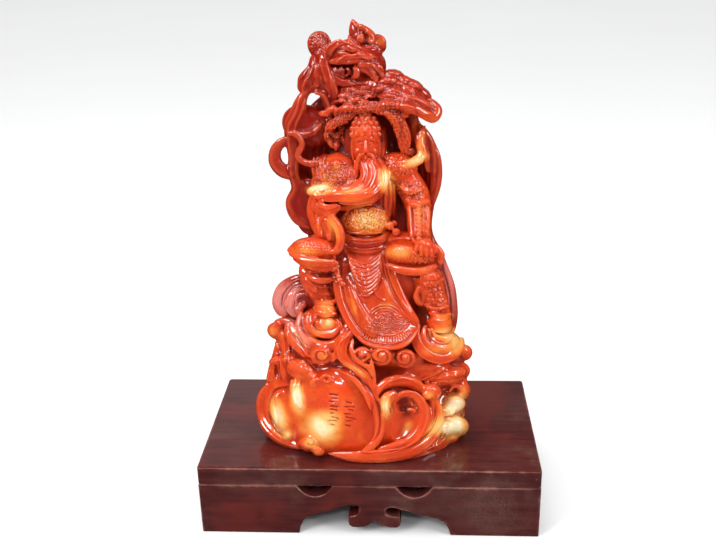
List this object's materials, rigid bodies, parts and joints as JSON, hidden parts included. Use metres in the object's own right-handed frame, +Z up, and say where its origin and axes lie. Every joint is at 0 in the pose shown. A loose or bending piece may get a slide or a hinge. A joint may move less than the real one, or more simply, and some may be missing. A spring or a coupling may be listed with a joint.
{
  "type": "guan yu statue on a wooden stand",
  "caption": "Carved red figure of a seated, bearded general in armour under a pine and a dragon, on a rock of waves and clouds, resting on a low fretted wooden stand.",
  "frame": {"origin": "centre of the underside of the stand's feet", "axes": "+Z up, the figure faces -Y, +X to the right of someone who looks at its front"},
  "size_m": [0.16, 0.086, 0.2338],
  "materials": {
    "stone_resin": "polished, slightly translucent red with orange and cream patches",
    "lacquered_wood": "dark red-brown lacquer, worn along the edges"
  },
  "bodies": {
    "root": {"statue": "stone_resin", "stand_top": "lacquered_wood", "stand_front": "lacquered_wood", "stand_back": "lacquered_wood", "stand_left": "lacquered_wood", "stand_right": "lacquered_wood"}
  },
  "joints": []
}
